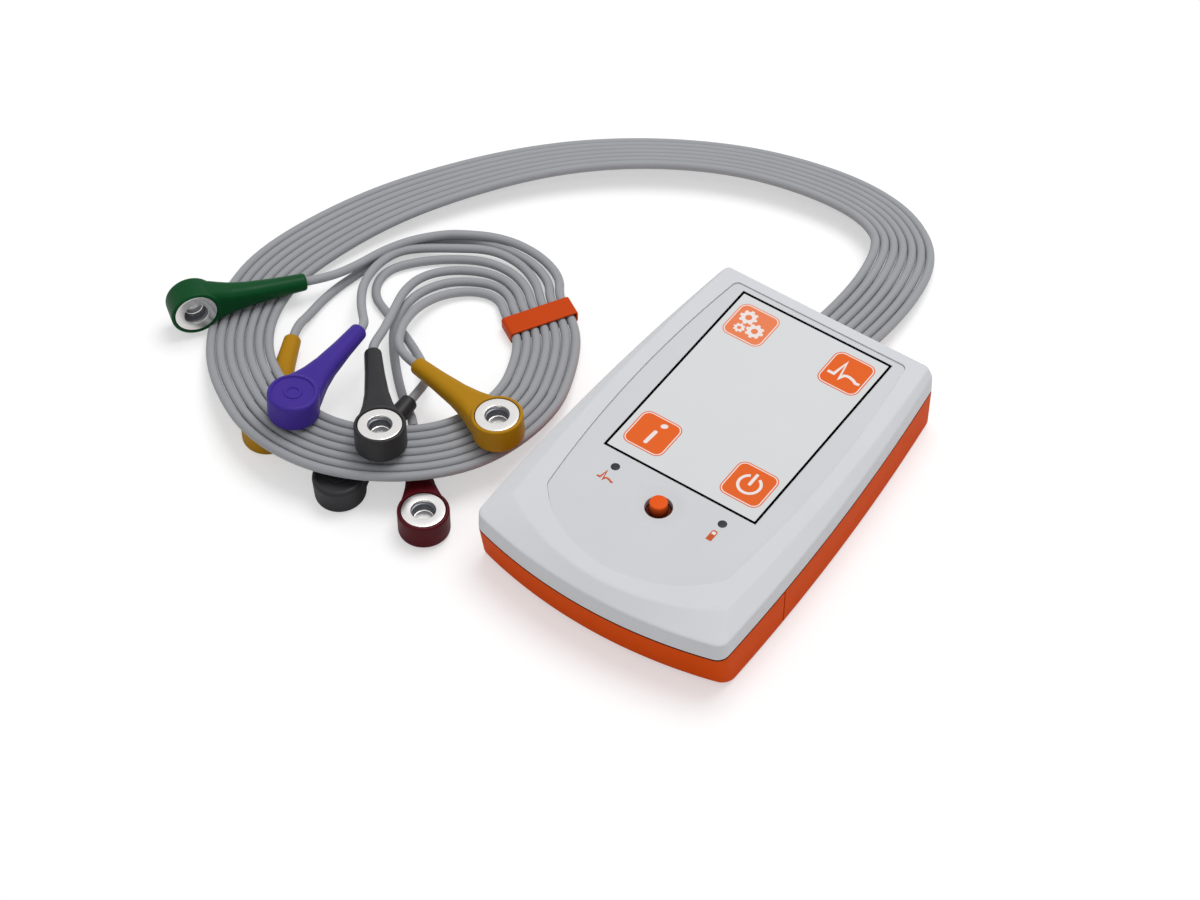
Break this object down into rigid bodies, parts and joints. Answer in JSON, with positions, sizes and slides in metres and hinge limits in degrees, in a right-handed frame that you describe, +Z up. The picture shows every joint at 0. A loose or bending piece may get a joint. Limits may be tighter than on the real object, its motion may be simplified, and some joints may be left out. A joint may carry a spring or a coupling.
{
  "type": "holter monitor",
  "caption": "Pocket heart recorder in a two-shell case with touch display, event button, sliding battery door and a plug-in set of snap-ended patient leads.",
  "frame": {"origin": "middle of the case's outline on the surface that it lies on", "axes": "+X across the case to the right, +Y along the case to the wall where the leads leave, +Z up through the display"},
  "size_m": [0.167, 0.1543, 0.0192],
  "materials": {
    "upper_case": "satin, cool light grey",
    "panel_face": "satin, cool light grey",
    "lower_case": "satin orange",
    "display_glass": "clear gloss over a light screen",
    "display_back": "plain",
    "board": "solder mask green",
    "light_window": "dark tinted",
    "button": "semi-gloss orange",
    "switch": "plain black",
    "cell": "printed sleeve, left plain",
    "contact": "nickel plated",
    "screw": "zinc plated",
    "socket": "plain black",
    "plug": "satin grey moulding",
    "lead": "satin mid grey",
    "band": "satin orange",
    "snap_green": "satin dark green",
    "snap_ochre": "satin ochre yellow",
    "snap_violet": "satin violet",
    "snap_charcoal": "satin charcoal",
    "snap_black": "satin charcoal",
    "snap_red": "satin dark red",
    "snap_gold": "satin ochre yellow",
    "snap_metal": "bright nickel"
  },
  "bodies": {
    "case": {"top_shell": "upper_case", "front_panel": "panel_face", "display_window": "display_glass", "display_module": "display_back", "circuit_board": "board", "light_pipe_pulse": "light_window", "light_pipe_battery": "light_window", "button_switch": "switch", "bottom_shell": "lower_case", "battery_cell_rear": "cell", "battery_cell_front": "cell", "contact_bridge": "contact", "contact_positive": "contact", "contact_negative": "contact", "case_screw_rear_left": "screw", "case_screw_rear_right": "screw", "case_screw_front_left": "screw", "case_screw_front_right": "screw", "lead_socket": "socket"},
    "button": {"event_button": "button"},
    "door": {"battery_door": "lower_case"},
    "lead_set": {"lead_plug": "plug", "lead_band": "band", "lead_green": "lead", "lead_ochre": "lead", "lead_violet": "lead", "lead_charcoal": "lead", "lead_black": "lead", "lead_red": "lead", "lead_gold": "lead", "snap_housing_green": "snap_green", "snap_socket_green": "snap_metal", "snap_housing_ochre": "snap_ochre", "snap_socket_ochre": "snap_metal", "snap_housing_violet": "snap_violet", "snap_socket_violet": "snap_metal", "snap_housing_charcoal": "snap_charcoal", "snap_socket_charcoal": "snap_metal", "snap_housing_black": "snap_black", "snap_socket_black": "snap_metal", "snap_housing_red": "snap_red", "snap_socket_red": "snap_metal", "snap_housing_gold": "snap_gold", "snap_socket_gold": "snap_metal"}
  },
  "joints": [
    {"name": "event_button_press", "type": "slide", "parent": "case", "child": "button", "axis": [0, 0, -1], "range_m": [0, 0.0006], "stiffness_N_per_m": 1500, "springref_m": -0.0003},
    {"name": "battery_door_slide", "type": "slide", "parent": "case", "child": "door", "axis": [0, -1, 0], "range_m": [0, 0.028]},
    {"name": "lead_plug_pull", "type": "slide", "parent": "case", "child": "lead_set", "axis": [0, 1, 0], "range_m": [0, 0.012]}
  ]
}
